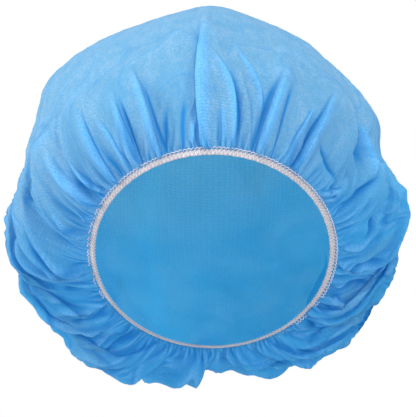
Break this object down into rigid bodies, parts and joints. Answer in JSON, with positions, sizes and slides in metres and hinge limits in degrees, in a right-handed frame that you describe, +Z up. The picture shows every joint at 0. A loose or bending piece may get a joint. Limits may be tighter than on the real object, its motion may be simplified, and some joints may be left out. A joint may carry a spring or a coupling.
{
  "type": "bouffant cap",
  "caption": "Disposable bouffant cap of thin pleated non-woven cloth, puffed out all round and gathered on a white elastic ring, held in its worn shape.",
  "frame": {"origin": "centre of the elastic ring that grips the head, which is where the cap sits on its wearer", "axes": "+Z up as worn, -Y towards the face side, +X to the right of someone who looks at the face side; the elastic ring rises 33 degrees from the nape to the forehead"},
  "size_m": [0.2402, 0.2368, 0.2255],
  "materials": {
    "nonwoven_cloth": "thin sky-blue spunbonded polypropylene, matt, lets light through, with fine bonding dots and a soft sheen on folds",
    "white_elastic": "off-white knitted elastic ring, overlocked with white thread, matt"
  },
  "bodies": {
    "root": {"bouffant_cloth": "nonwoven_cloth", "elastic_band": "white_elastic"}
  },
  "joints": []
}
